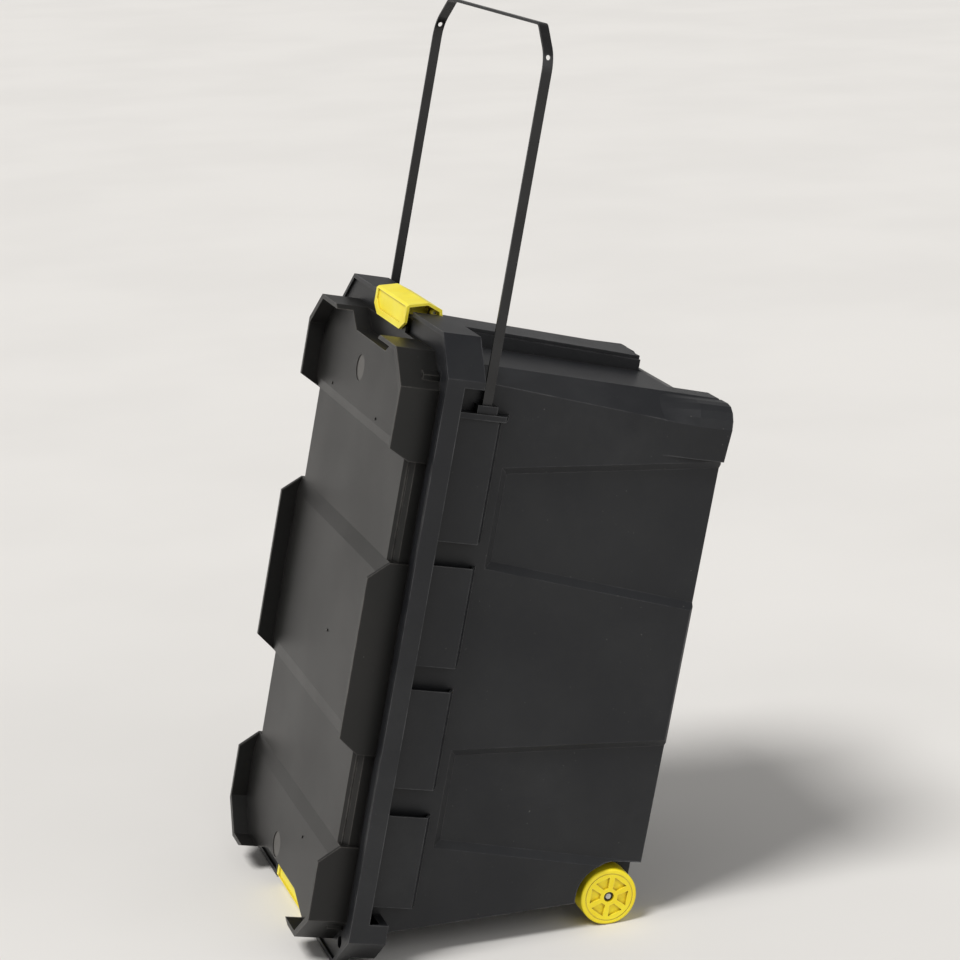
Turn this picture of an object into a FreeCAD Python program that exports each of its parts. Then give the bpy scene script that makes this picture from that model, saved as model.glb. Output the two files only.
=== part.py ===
import FreeCAD, Part
import math
import os

import Sketcher

# Rolling jobsite storage box: a moulded tub with a lift-off lid, a latch at each
# short end, a pull handle of bent steel strip and two wheels on a steel axle.
#
# Every piece is drawn with the box lying on its base: x runs along the length
# from the wheel end to the handle end, y runs across, z runs up from the base.
# One rest frame then stands the whole box on its wheels and its rest flanges,
# leaning back as it does when it waits to be pulled.

os.makedirs("parts", exist_ok=True)
doc = FreeCAD.newDocument("storage_box")
sheet = doc.addObject("Spreadsheet::Sheet", "dims")

DIMENSIONS = [
    # lid
    ("panel_level", 445, "height of the lid panel above the base"),
    ("lid_length", 822, "length of the lid"),
    ("lid_half", 240, "half width of the lid over its lips"),
    ("lid_corner_x", 43, "lid corner chamfer along the length"),
    ("lid_corner_y", 48, "lid corner chamfer across"),
    ("lid_drop", 26.5, "lid panel down to the lid's lower edge"),
    ("lid_wall", 4, "wall of the lid"),
    ("plate_inset", 4, "lid plate behind the lips"),
    ("shoulder_run", 14.5, "sloped shoulder of the lid plate, across"),
    ("shoulder_drop", 12, "sloped shoulder of the lid plate, down"),
    ("band_rise", 4, "raised cross band above the panel"),
    ("lip_rise", 27.5, "lip above the panel"),
    ("lip_wall", 6, "thickness of a lip"),
    ("handle_band", 141, "foot of the handle-end band from that end"),
    ("handle_ramp", 15, "ramp of the handle-end band"),
    ("middle_band_low_a", 279, "foot of the middle band, wheel side"),
    ("middle_band_top_a", 300, "top of that ramp"),
    ("middle_band_top_b", 521, "top of the middle band, handle side"),
    ("middle_band_low_b", 544, "foot of that ramp"),
    ("wheel_band_top", 126, "top of the ramp of the wheel-end band"),
    ("wheel_band_low", 149.5, "foot of the wheel-end band"),
    ("notch_depth_handle", 27, "latch notch in the handle end of the lid"),
    ("notch_lap_handle", 1, "latch beyond that notch's inner edge, each side"),
    ("notch_flare_handle", 40, "that notch wider outside than inside, each side"),
    ("notch_depth_wheel", 26, "latch notch in the wheel end of the lid"),
    ("notch_play_wheel", 4, "that notch's inner edge beyond the latch, each side"),
    ("notch_flare_wheel", 72, "that notch wider outside than inside, each side"),
    ("notch_reach", 12, "notch outline drawn on past the lid's end"),
    ("ledge_drop", 20, "catch ledge below the panel"),
    ("catch_lap", 6, "latch beyond the catch ledge, each side"),
    ("catch_setback", 23, "catch ledge edge behind the rim's end"),
    ("catch_root", 10, "catch ledge rooted this far in the lid"),
    ("rib_depth", 11, "locating rib into the mouth"),
    ("rib_wall", 3, "thickness of the locating rib"),
    ("rib_gap", 1.5, "locating rib to the mouth"),
    ("boss_radius", 18.5, "round sunk mark on the lid"),
    ("boss_depth", 1, "depth of the sunk mark"),
    ("boss_handle", 71, "sunk mark on the handle-end band from that end"),
    ("boss_handle_y", 27, "that mark from the middle"),
    ("boss_wheel_x", 46, "sunk mark on the wheel-end band, along the length"),
    ("boss_wheel_y", 40, "that mark from the middle"),
    ("nub_radius", 2, "radius of a moulding nub"),
    ("nub_rise", 5.2, "moulding nub above the panel"),
    # rim of the tub
    ("rim_wheel", 7, "rim beyond the lid's wheel end"),
    ("rim_handle", 31, "rim beyond the lid's handle end"),
    ("rim_side", 33, "rim beyond the lid's side"),
    ("rim_corner_handle", 51, "corner chamfer of the rim at the handle end"),
    ("rim_corner_wheel", 34, "corner chamfer of the rim at the wheel end"),
    ("rim_depth", 25, "height of the rim's skirt along the sides"),
    ("apron_drop", 15, "skirt of the ends and corners below that of the sides"),
    ("rim_wall", 3.5, "wall of the rim"),
    ("bead", 6, "width of the bead round the rim"),
    ("bead_rise", 3.5, "bead above the rim's ledge"),
    ("block_depth", 12, "corner blocks below the skirt"),
    ("block_length", 61, "corner blocks along the length"),
    ("block_gap", 24, "corner blocks beyond the latch bay"),
    ("bay_gap", 5, "latch bay beyond the latch, each side"),
    ("bay_depth", 12, "depth of the latch bay"),
    ("rest_proud", 18, "rest flanges beyond the rim's wheel end"),
    ("rest_depth", 18, "height of the rest flanges"),
    ("lock_bore", 8.5, "radius of the tie-down hole"),
    ("lock_wall", 4.5, "wall of the pillar round the tie-down hole"),
    ("lock_end", 16, "tie-down hole from the rim's wheel end"),
    ("lock_side", 48, "tie-down hole from the rim's side"),
    # walls of the tub
    ("wall", 3.5, "wall of the tub"),
    ("side_setback", 39, "side wall inside the rim's side, under the rim"),
    ("side_taper", 7, "side wall leans in by this down to the base"),
    ("end_setback", 8, "handle-end wall inside the lid's end, under the rim"),
    ("end_taper", 10, "handle-end wall leans in by this down to the base"),
    ("end_corner_top", 13, "handle-end corner along the length, top"),
    ("end_corner_base", 37, "handle-end corner along the length, base"),
    ("end_corner_y", 42, "handle-end corner across"),
    ("wheel_end_top", 15.5, "wheel-end wall under the rim"),
    ("wheel_end_base", 94, "wheel-end wall at the base"),
    ("wheel_corner_x", 8, "wheel-end corner along the length"),
    ("wheel_corner_y", 30, "wheel-end corner across"),
    ("base_edge", 4, "chamfer round the base"),
    ("panel_sink", 8, "depth of the sunk side panels"),
    ("panel_slope", 52, "slope of the sunk panels' edges in degrees"),
    ("sunk_top", 302, "top of the sunk panels above the base"),
    ("upper_high_top", 676, "upper panel, handle side, at its top"),
    ("upper_low_top", 556, "upper panel, wheel side, at its top"),
    ("upper_low_base", 523, "upper panel, wheel side, at the base"),
    ("upper_high_base", 718, "upper panel, handle side, at the base"),
    ("lower_high_top", 284, "lower panel, handle side, at its top"),
    ("lower_low_top", 163, "lower panel, wheel side, at its top"),
    ("lower_low_base", 146, "lower panel, wheel side, at the base"),
    ("lower_high_base", 321, "lower panel, handle side, at the base"),
    ("flare_proud", 12, "base corner flare beyond the side wall"),
    ("flare_height", 48, "height of the flare's full size"),
    ("flare_fade", 100, "level where the flare meets the wall"),
    ("flare_length", 78, "length of the flare along the side"),
    ("flare_step", 5, "flare beyond the side wall at its start"),
    ("flare_round", 31, "round corner of the flare, along the length and across"),
    ("flare_sunk", 1, "flare sinks this far into the wall where it fades out"),
    ("flare_root", 20, "flare rooted this far in the walls"),
    ("grip_half", 145, "half width of the hand grip in the end wall"),
    ("grip_height", 60, "height of the hand grip"),
    ("grip_depth", 20, "hand grip into the end wall at the base"),
    ("spine_half", 40, "half width of the end wall's spine"),
    ("spine_proud_top", 24, "spine beyond the end wall under the rim"),
    ("spine_proud_base", 22, "spine beyond the end wall at its foot"),
    ("spine_foot", 56, "height of the spine's foot above the base"),
    ("spine_step", 5, "stepped flank of the spine"),
    ("spine_nose", 9, "sloped foot of the spine"),
    # handle channel along each side
    ("channel_setback", 23, "outer face of the handle channel inside the rim's side"),
    ("channel_low", 322, "lower edge of the channel above the base"),
    ("channel_wall", 3, "wall of the channel"),
    ("cover_slope", 12, "height of the covers' sloped foot"),
    ("entry_back", 104, "channel's entry flange from the rim's handle end"),
    ("entry_flange", 8, "thickness of the entry flange"),
    ("entry_low", 314, "lower edge of the entry flange"),
    ("entry_proud", 3, "entry flange beyond the channel"),
    ("collar_length", 11, "collar on the entry flange"),
    ("collar_half", 14, "half height of the collar"),
    ("stop_rib", 5, "thickness of the rib that stops the slide block"),
    ("stop_inset", 36, "that rib inside the first cover"),
    ("cover_1_low", 582, "first channel cover, wheel side"),
    ("cover_2_low", 411, "second channel cover, wheel side"),
    ("cover_2_high", 549, "second channel cover, handle side"),
    ("cover_3_low", 240, "third channel cover, wheel side"),
    ("cover_3_high", 378, "third channel cover, handle side"),
    ("cover_4_low", 71, "fourth channel cover, wheel side"),
    ("cover_4_high", 201, "fourth channel cover, handle side"),
    # pull handle
    ("strip_width", 13, "width of the handle's strip"),
    ("strip_thick", 3.5, "thickness of the handle's strip"),
    ("strip_level", 353, "middle of the strip above the base"),
    ("handle_reach", 369, "straight legs beyond the rim's handle end"),
    ("slant_rise", 39, "slanted ends along the length"),
    ("slant_run", 46, "slanted ends across"),
    ("shoulder_bend", 40, "bend between a leg and its slanted end"),
    ("crossbar_bend", 14, "bend between a slanted end and the crossbar"),
    ("hang_hole", 3.3, "radius of the hole near each shoulder"),
    ("leg_gap", 0.8, "strip to the ribs round it"),
    ("slider_length", 28, "slide block on the leg's end"),
    ("slider_height", 26, "height of the slide block"),
    ("slider_play", 0.6, "slide block to the channel"),
    ("slider_skin", 1.65, "slide block between the channel and the leg"),
    ("slider_stop", 0.5, "slide block to the stop rib"),
    ("slider_seat", 24, "leg's length in its slide block"),
    ("slider_back", 3, "slide block behind the leg"),
    ("rivet_inset", 14, "rivet from the leg's end"),
    ("rivet_radius", 2.5, "rivet through leg and slide block"),
    # wheels
    ("axle_x", 94.3, "axle from the lid's wheel end"),
    ("axle_level", 40, "axle above the base"),
    ("axle_radius", 4, "radius of the axle"),
    ("axle_gap", 0.1, "axle in the tub's webs"),
    ("wheel_radius", 41, "radius of the wheel"),
    ("wheel_inset", 3, "outer face of the wheel inside the side wall at the base"),
    ("wheel_width", 38.5, "width of the wheel"),
    ("wheel_play", 0.2, "wheel to its washers"),
    ("wheel_bore_gap", 0.08, "wheel on the axle"),
    ("arch_gap", 11, "wheel to its arch in the tub"),
    ("washer", 2, "thickness of the thrust washers"),
    ("washer_radius", 10, "radius of the thrust washers"),
    ("hub_sink", 7, "depth of the hub's counterbore"),
    ("hub_sink_radius", 7.5, "radius of the hub's counterbore"),
    ("cap_thick", 1.6, "thickness of the push nut"),
    ("cap_radius", 6.8, "radius of the push nut"),
    ("cap_gap", 0.3, "push nut to the hub"),
    ("axle_recess", 3, "axle's end behind the wheel's face"),
    ("tread_edge", 3, "rounded edges of the tread"),
    ("ring_outer", 35, "outer radius of the groove in the wheel's face"),
    ("ring_inner", 33.5, "inner radius of that groove"),
    ("ring_depth", 0.8, "depth of that groove"),
    ("pocket_sink", 3.5, "depth of the wheel's pockets"),
    ("pocket_inner", 12.5, "pockets from the wheel's centre"),
    ("pocket_outer", 27, "pockets end this far from the centre"),
    ("pocket_inner_half", 3.5, "half width of a pocket inside"),
    ("pocket_outer_half", 11, "half width of a pocket outside"),
    ("step_x", 16, "axle bay beyond the axle, along the length"),
    ("step_level", 16, "axle bay above the axle"),
    ("web", 6, "thickness of the axle webs"),
    ("web_y", 62, "inner axle webs from the middle"),
    # latches
    ("latch_half", 76, "half width of a latch"),
    ("latch_narrow", 21, "latch narrower at its tip, each side"),
    ("latch_tip", 29, "latch tip behind the rim's end"),
    ("latch_corner", 12, "length of the latch's corner cuts"),
    ("latch_gap", 1, "latch plate above the catch ledge"),
    ("latch_plate", 4, "thickness of the latch plate"),
    ("latch_wall", 3.5, "thickness of the latch's outer wall"),
    ("latch_shoulder", 8, "latch beyond the rim's end at its plate"),
    ("latch_bulge", 14, "latch beyond the rim's end at its widest"),
    ("bulge_level", 401, "widest line of the latch above the base"),
    ("latch_foot", 7, "latch beyond the rim's end at its foot"),
    ("foot_level", 380, "foot of the latch above the base"),
    ("flange_reach", 5, "foot flange of the latch behind the rim's end"),
    ("flange_drop", 2.5, "foot flange slopes down by"),
    ("latch_border", 8, "border round the latch's sunk field"),
    ("latch_field", 2.5, "depth of the sunk field"),
    ("latch_edge", 3, "chamfer between the latch's plate and wall"),
    ("pivot_level", 387, "latch pivot above the base, in line with the rim's end"),
    ("barrel_radius", 5, "radius of the latch's barrel"),
    ("barrel_inset", 10, "barrel ends inside the latch's sides"),
    ("lug_radius", 4, "radius of a lug's eye"),
    ("pin_radius", 2, "radius of the latch pin"),
    ("pin_gap", 0.08, "latch on its pin"),
    ("lug_inset", 22, "latch lugs inside the latch's sides"),
    ("lug_width", 9, "width of a latch lug"),
    ("lug_gap", 0.5, "latch barrel to the lugs"),
    ("rib_inset", 19, "latch's inner ribs inside the lugs"),
    ("rib_width", 3, "thickness of an inner rib"),
    ("rib_reach", 10, "inner ribs behind the rim's end"),
    ("rib_into", 1, "inner ribs run into the latch's walls by"),
]

for row, (alias, value, note) in enumerate(DIMENSIONS, start=1):
    sheet.set(f"A{row}", note)
    sheet.set(f"B{row}", str(value))
    sheet.setAlias(f"B{row}", alias)
doc.recompute()


class Size:
    """A length that keeps both its value and the spreadsheet expression it comes from."""

    def __init__(self, value, text):
        self.value = value
        self.text = text

    def __add__(self, other):
        other = as_size(other)
        return Size(self.value + other.value, f"({self.text} + {other.text})")

    def __sub__(self, other):
        other = as_size(other)
        return Size(self.value - other.value, f"({self.text} - {other.text})")

    def __mul__(self, other):
        other = as_size(other)
        return Size(self.value * other.value, f"({self.text} * {other.text})")

    def __truediv__(self, other):
        other = as_size(other)
        return Size(self.value / other.value, f"({self.text} / {other.text})")

    def __rsub__(self, other):
        return as_size(other) - self

    def __neg__(self):
        return self * -1

    __radd__ = __add__
    __rmul__ = __mul__


def as_size(number):
    """A Size as it is, or a plain number as a Size."""
    if isinstance(number, Size):
        return number
    return Size(number, f"({number})")


def dim(alias):
    """The named cell of the spreadsheet."""
    return Size(float(sheet.get(alias)), f"dims.{alias}")


def bind(owner, path, size):
    """Tie one property of an object to its size."""
    owner.setExpression(path, as_size(size).text)


# ---------------------------------------------------------------- drawing tools

ORIGIN_PLANES = {"XY": "XY_Plane", "XZ": "XZ_Plane", "YZ": "YZ_Plane"}
PLANE_TURNS = {
    "XY": FreeCAD.Rotation(),
    "XZ": FreeCAD.Rotation(FreeCAD.Vector(1, 0, 0), 90),
    "YZ": FreeCAD.Rotation(FreeCAD.Vector(1, 1, 1), 120),
}
# A sketch's own axes lie along these axes of the lying box, and its normal along
# the last one: XZ looks from the -y side, so its normal is -y.
PLANE_SHIFTS = {"XY": "z", "XZ": "y", "YZ": "x"}


def empty_sketch(name, plane, level, body, origin=(0, 0)):
    """A sketch in a plane at a level along that plane's axis, free or in a body at an origin."""
    if body is None:
        sketch = doc.addObject("Sketcher::SketchObject", name)
        sketch.Placement = FreeCAD.Placement(FreeCAD.Vector(), PLANE_TURNS[plane])
        bind(sketch, f"Placement.Base.{PLANE_SHIFTS[plane]}", level)
        return sketch
    sketch = body.newObject("Sketcher::SketchObject", name)
    role = ORIGIN_PLANES[plane]
    support = [feature for feature in body.Origin.OriginFeatures if feature.Role == role][0]
    sketch.AttachmentSupport = [(support, "")]
    sketch.MapMode = "FlatFace"
    bind(sketch, "AttachmentOffset.Base.x", origin[0])
    bind(sketch, "AttachmentOffset.Base.y", origin[1])
    outward = -1 if plane == "XZ" else 1
    bind(sketch, "AttachmentOffset.Base.z", as_size(level) * outward)
    return sketch


def hold_point(sketch, geometry, which, point):
    """Fix one point of a sketch at its two sizes."""
    for kind, size in zip(("DistanceX", "DistanceY"), point):
        size = as_size(size)
        rule = Sketcher.Constraint(kind, -1, 1, geometry, which, size.value)
        bind(sketch, f"Constraints[{sketch.addConstraint(rule)}]", size)


def vector(point):
    """The plane point as a FreeCAD vector."""
    return FreeCAD.Vector(as_size(point[0]).value, as_size(point[1]).value, 0)


def polygon(name, points, plane="XY", level=0, body=None, sketch=None):
    """A closed outline through the points, each a pair of sizes."""
    if sketch is None:
        sketch = empty_sketch(name, plane, level, body)
    first = sketch.GeometryCount
    corners = [vector(point) for point in points]
    for start, end in zip(corners, corners[1:] + corners[:1]):
        sketch.addGeometry(Part.LineSegment(start, end))
    count = len(points)
    for index in range(count):
        following = first + (index + 1) % count
        sketch.addConstraint(Sketcher.Constraint("Coincident", first + index, 2, following, 1))
    for index, point in enumerate(points):
        hold_point(sketch, first + index, 1, point)
    return sketch


def circle(name, centre, radius, plane="XZ", level=0, body=None, sketch=None):
    """A round outline about a centre."""
    if sketch is None:
        sketch = empty_sketch(name, plane, level, body)
    radius = as_size(radius)
    normal = FreeCAD.Vector(0, 0, 1)
    index = sketch.addGeometry(Part.Circle(vector(centre), normal, radius.value))
    hold_point(sketch, index, 3, centre)
    rule = Sketcher.Constraint("Radius", index, radius.value)
    bind(sketch, f"Constraints[{sketch.addConstraint(rule)}]", radius)
    return sketch


def extrude(name, sketch, length, both=False, taper=0, backwards=False):
    """A solid from a sketch along its normal, against it, or half the length to each side."""
    solid = doc.addObject("Part::Extrusion", name)
    solid.Base = sketch
    solid.DirMode = "Normal"
    solid.Solid = True
    solid.Symmetric = both
    solid.Reversed = backwards
    bind(solid, "LengthFwd", length)
    if taper:
        bind(solid, "TaperAngle", taper)
    return solid


def prism(name, points, plane, start, length, both=False):
    """A straight block with the outline given, from a level along the plane's normal."""
    return extrude(name, polygon(f"{name}_outline", points, plane, start), length, both)


def cylinder(name, centre, radius, plane, start, length, both=False):
    """A round bar along a plane's normal."""
    return extrude(name, circle(f"{name}_outline", centre, radius, plane, start), length, both)


def block(name, low, high):
    """A plain block between two corners."""
    solid = doc.addObject("Part::Box", name)
    for axis, edge, near, far in zip("xyz", ("Length", "Width", "Height"), low, high):
        bind(solid, f"Placement.Base.{axis}", near)
        bind(solid, edge, as_size(far) - near)
    return solid


def loft(name, sections):
    """A straight-sided solid through outlines with as many corners each."""
    solid = doc.addObject("Part::Loft", name)
    solid.Sections = sections
    solid.Solid = True
    solid.Ruled = True
    return solid


def fuse(name, shapes):
    """One solid from several."""
    solid = doc.addObject("Part::MultiFuse", name)
    solid.Shapes = shapes
    return solid


def common(name, shapes):
    """What several solids share."""
    solid = doc.addObject("Part::MultiCommon", name)
    solid.Shapes = shapes
    return solid


def cut(name, base, tools):
    """A solid with others taken away from it."""
    solid = doc.addObject("Part::Cut", name)
    solid.Base = base
    solid.Tool = tools[0] if len(tools) == 1 else fuse(f"{name}_tools", tools)
    return solid


def mirror_across(name, source):
    """The same solid on the other side of the box's middle plane."""
    solid = doc.addObject("Part::Mirroring", name)
    solid.Source = source
    solid.Normal = FreeCAD.Vector(0, 1, 0)
    return solid


def both_sides(name, source):
    """A solid and its mirror image."""
    return [source, mirror_across(f"{name}_mirrored", source)]


def pad(body, name, sketch, length, both=False, backwards=False):
    """Material added from a body's sketch."""
    feature = body.newObject("PartDesign::Pad", name)
    feature.Profile = sketch
    feature.Midplane = both
    feature.Reversed = backwards
    bind(feature, "Length", length)
    sketch.Visibility = False
    body.Tip = feature
    return feature


def pocket(body, name, sketch, length, both=False, backwards=False):
    """Material taken away from a body, which has to lose some."""
    doc.recompute()
    before = body.Shape.Volume
    feature = body.newObject("PartDesign::Pocket", name)
    feature.Profile = sketch
    feature.Midplane = both
    feature.Reversed = backwards
    bind(feature, "Length", length)
    body.Tip = feature
    doc.recompute()
    if body.Shape.Volume >= before:
        raise ValueError(f"{name} cuts nothing")
    return feature


def octagon(low, high, half, low_x, low_y, high_x, high_y):
    """A rectangle across the box with its corners cut: x at the ends, half width, cuts."""
    return [
        (low, half - low_y),
        (low + low_x, half),
        (high - high_x, half),
        (high, half - high_y),
        (high, high_y - half),
        (high - high_x, -half),
        (low + low_x, -half),
        (low, low_y - half),
    ]


# ---------------------------------------------------------------- shared sizes

panel = dim("panel_level")
seat = panel - dim("lid_drop")                      # ledge of the rim, where the lid rests
rim_top = seat + dim("bead_rise")
skirt_foot = rim_top - dim("rim_depth")
apron_foot = skirt_foot - dim("apron_drop")
block_foot = apron_foot - dim("block_depth")
rest_foot = rim_top - dim("rest_depth")
lid_length = dim("lid_length")
rim_low = -dim("rim_wheel")
rim_high = lid_length + dim("rim_handle")
rim_half = dim("lid_half") + dim("rim_side")
rest_low = rim_low - dim("rest_proud")
side_top = rim_half - dim("side_setback")
side_base = side_top - dim("side_taper")
end_top = lid_length - dim("end_setback")
end_base = end_top - dim("end_taper")
spine_top = end_top + dim("spine_proud_top")
spine_base = end_base + dim("spine_proud_base")
latch_half = dim("latch_half")
barrel_half = latch_half - dim("barrel_inset")
bay_half = latch_half + dim("bay_gap")
lug_place = latch_half - dim("lug_inset")
rib_place = lug_place - dim("rib_inset")
block_inner = bay_half + dim("block_gap")
lock_x = rim_low + dim("lock_end")
lock_y = rim_half - dim("lock_side")
pivot_level = dim("pivot_level")
axle_x = dim("axle_x")
axle_level = dim("axle_level")
wall = dim("wall")
wheel_face = side_base - dim("wheel_inset")
wheel_inner = wheel_face - dim("wheel_width")
arch_inner = wheel_inner - dim("wheel_play") - dim("washer")
arch_radius = dim("wheel_radius") + dim("arch_gap")
catch_top = panel - dim("ledge_drop")
channel_half = rim_half - dim("channel_setback")
entry_start = rim_high - dim("entry_back")
collar_start = entry_start + dim("entry_flange")
collar_end = collar_start + dim("collar_length")
strip_level = dim("strip_level")
stop_face = dim("cover_1_low") + dim("stop_inset")  # the slide blocks meet this rib face
slider_outer = channel_half - dim("channel_wall") - dim("slider_play")
leg_middle = slider_outer - dim("slider_skin") - dim("strip_thick") / 2
shoulder_x = rim_high + dim("handle_reach")
crossbar_x = shoulder_x + dim("slant_rise")
crossbar_half = leg_middle - dim("slant_run")
below = -20                                         # a level clear below the base
clear = 10                                          # cutters reach past a face by this


class End:
    """One short end of the box, measured from the rim's end inwards."""

    def __init__(self, name, edge, inward):
        self.name = name
        self.edge = edge
        self.inward = inward

    def at(self, distance):
        """The x of a point this far inboard of the rim's end."""
        return self.edge + as_size(distance) * self.inward


handle_end = End("handle_end", rim_high, -1)
wheel_end = End("wheel_end", rim_low, 1)


# ---------------------------------------------------------------- tub

def wall_outline(name, level, half, wheel_x, handle_x, handle_corner, inset, edge=0):
    """The tub's outline at one level, drawn in from the outer face by the inset."""
    inset = as_size(inset) + edge
    points = octagon(
        wheel_x + inset,
        handle_x - inset,
        half - inset,
        dim("wheel_corner_x"),
        dim("wheel_corner_y"),
        handle_corner,
        dim("end_corner_y"),
    )
    return polygon(name, points, "XY", level)


def tub_loft(name, inset, floor, top):
    """The tapering body of the tub, or the space in it, from a floor to a top level."""
    neck = apron_foot
    slope = neck / seat
    side_neck = side_base + (side_top - side_base) * slope
    end_neck = end_base + (end_top - end_base) * slope
    corner_neck = dim("end_corner_base") + (dim("end_corner_top") - dim("end_corner_base")) * slope
    edge = dim("base_edge")
    base = (side_base, dim("wheel_end_base"), end_base, dim("end_corner_base"))
    neck_sizes = (side_neck, dim("wheel_end_top"), end_neck, corner_neck)
    top_sizes = (side_top, dim("wheel_end_top"), end_top, dim("end_corner_top"))
    levels = [
        ("foot", floor, base, edge),
        ("edge", floor + edge, base, 0),
        ("neck", neck, neck_sizes, 0),
        ("top", top, top_sizes, 0),
    ]
    return loft(name, [
        wall_outline(f"{name}_{place}", level, *sizes, inset, cut_in)
        for place, level, sizes, cut_in in levels
    ])


side_draft = (side_top - side_base) / seat


def tilted_polygon(name, points, depth):
    """An outline on the drafted near side wall, sunk into it by a depth."""
    sketch = polygon(name, points, "XZ")
    bind(sketch, "Placement.Base.y", depth - side_base)
    sketch.setExpression("Placement.Rotation.Angle", f"90 deg + atan({side_draft.text})")
    return sketch


def sunk_panel(name, corners, grow):
    """Cutter for one sunk side panel: outline at its floor, opening outwards."""
    floor_points = [
        (x + grow * across, z + grow * up)
        for (x, z), (across, up) in zip(corners, ((1, 1), (-1, 1), (-1, 0), (1, 0)))
    ]
    sketch = tilted_polygon(f"{name}_floor", floor_points, dim("panel_sink") + grow)
    return extrude(name, sketch, dim("panel_sink") + grow + clear, taper=dim("panel_slope"))


def panel_corners(which):
    """Floor corners of one sunk panel: top handle side, top wheel side, base the same."""
    top = dim("sunk_top")
    return [
        (dim(f"{which}_high_top"), top),
        (dim(f"{which}_low_top"), top),
        (dim(f"{which}_low_base"), below),
        (dim(f"{which}_high_base"), below),
    ]


def sunk_panels(name, grow):
    """All four sunk side panels, larger by a wall where they shape the inside."""
    solids = []
    for place in ("upper", "lower"):
        one = sunk_panel(f"{name}_{place}", panel_corners(place), grow)
        solids += both_sides(f"{name}_{place}", one)
    return solids


def wheel_arches(name, radius, inner, outer):
    """Arched spaces over both wheels, from one distance off the middle to another."""
    arch = cylinder(f"{name}_round", (axle_x, axle_level), radius, "XZ", -inner, outer - inner)
    leg = block(
        f"{name}_leg",
        (axle_x - radius, -outer, below),
        (axle_x + radius, -inner, axle_level),
    )
    one = fuse(f"{name}_arch", [arch, leg])
    return both_sides(name, one)


def axle_bay(name, grow, half):
    """The stepped corner of the base that holds the axle between the wheels."""
    return block(
        name,
        (below, -half, below),
        (axle_x + dim("step_x") + grow, half, axle_level + dim("step_level") + grow),
    )


def rim_outline(name, level, inset):
    """The rim's outline drawn in by an inset all round, its 45 degree corners too."""
    inset = as_size(inset)
    shrink = inset * (2 - math.sqrt(2))
    wheel = dim("rim_corner_wheel") - shrink
    handle = dim("rim_corner_handle") - shrink
    points = octagon(
        rim_low + inset, rim_high - inset, rim_half - inset, wheel, wheel, handle, handle
    )
    return polygon(name, points, "XY", level)


def rest_flanges(name, level, height, inset):
    """The flanges that carry the rim's wheel-end corners outwards, drawn in by an inset.

    Their slanted sides lie in line with the rim's corner chamfers.
    """
    inset = as_size(inset)
    corner = dim("rim_corner_wheel") + dim("rest_proud") + inset * (math.sqrt(2) - 1)
    points = [
        (rest_low + inset, -block_inner - inset),
        (rest_low + inset, corner - rim_half),
        (rest_low + corner, inset - rim_half),
        (rest_low + corner, -block_inner - inset),
    ]
    return both_sides(name, prism(name, points, "XY", level, height))


def end_blocks(name, end, inner, outer, low, high, half_low, half_high):
    """A block at one end of the rim, between two distances inboard, on the near side."""
    near, far = (end.at(outer), end.at(inner)) if end.inward < 0 else (end.at(inner), end.at(outer))
    return block(name, (near, -half_high, low), (far, -half_low, high))


def make_rim():
    """The rim: ledge, bead, skirt and rest flanges, with a bay at each end for its latch."""
    height = rim_top - apron_foot
    skirt = extrude("rim_skirt", rim_outline("rim_skirt_outline", apron_foot, 0), height)
    flanges = rest_flanges("rest_flange", rest_foot, dim("rest_depth"), 0)
    hollow_depth = height - dim("bead_rise") - dim("rim_wall") + 1
    hollow = extrude(
        "rim_hollow", rim_outline("rim_hollow_outline", apron_foot - 1, dim("rim_wall")), hollow_depth
    )
    bay_depth = dim("bay_depth")
    bays = []
    kept = []
    inside = bay_depth + dim("rim_wall")
    reach = bay_half + dim("rim_wall")
    for end in (handle_end, wheel_end):
        name = f"bay_{end.name}"
        bays.append(end_blocks(name, end, -clear, bay_depth, below, panel, -bay_half, bay_half))
        kept.append(end_blocks(f"{name}_wall", end, -clear, inside, below, panel, -reach, reach))
    space = cut("rim_space", hollow, kept)
    shallow = block(
        "shallow_skirt",
        (wheel_end.at(dim("block_length")), -rim_half - clear, below),
        (handle_end.at(dim("block_length")), rim_half + clear, skirt_foot),
    )
    ledge = extrude("rim_ledge", rim_outline("rim_ledge_outline", seat, dim("bead")), clear)
    ledges = [ledge] + rest_flanges("rest_ledge", seat, clear, dim("bead"))
    return cut("rim_shell", fuse("rim_outer", [skirt] + flanges), [space, shallow] + ledges + bays)


def corner_blocks():
    """Deep blocks under the rim's corners."""
    depth = dim("block_depth")
    outline = extrude("block_field", rim_outline("block_field_outline", block_foot, 0), depth)
    solids = []
    for end in (handle_end, wheel_end):
        area = end_blocks(
            f"block_area_{end.name}", end, -clear, dim("block_length"), block_foot, apron_foot,
            block_inner, rim_half,
        )
        one = common(f"corner_block_{end.name}", [outline, area])
        solids += both_sides(f"corner_block_{end.name}", one)
    return solids


def end_spine(name, inset, top):
    """The spine on the handle-end wall, drawn in by an inset."""
    inset = as_size(inset)
    foot = dim("spine_foot") + inset
    slope = (spine_top - spine_base) / (apron_foot - dim("spine_foot"))
    face_foot = spine_base - inset
    face_top = face_foot + slope * (top - foot)
    root = end_base - dim("flare_root")
    nose = dim("spine_nose")
    body = prism(
        f"{name}_body",
        [
            (root, foot - nose),
            (face_foot - nose, foot - nose),
            (face_foot, foot),
            (face_top, top),
            (root, top),
        ],
        "XZ", 0, (dim("spine_half") - inset) * 2, both=True,
    )
    if inset.value > 0:
        return body
    step = dim("spine_step")
    flank = prism(
        f"{name}_flank",
        [
            (root, foot - nose - step),
            (face_foot - step - nose, foot - nose - step),
            (face_foot - step, foot - step),
            (face_top - step, top),
            (root, top),
        ],
        "XZ", 0, (dim("spine_half") + step) * 2, both=True,
    )
    return fuse(name, [body, flank])


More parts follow.
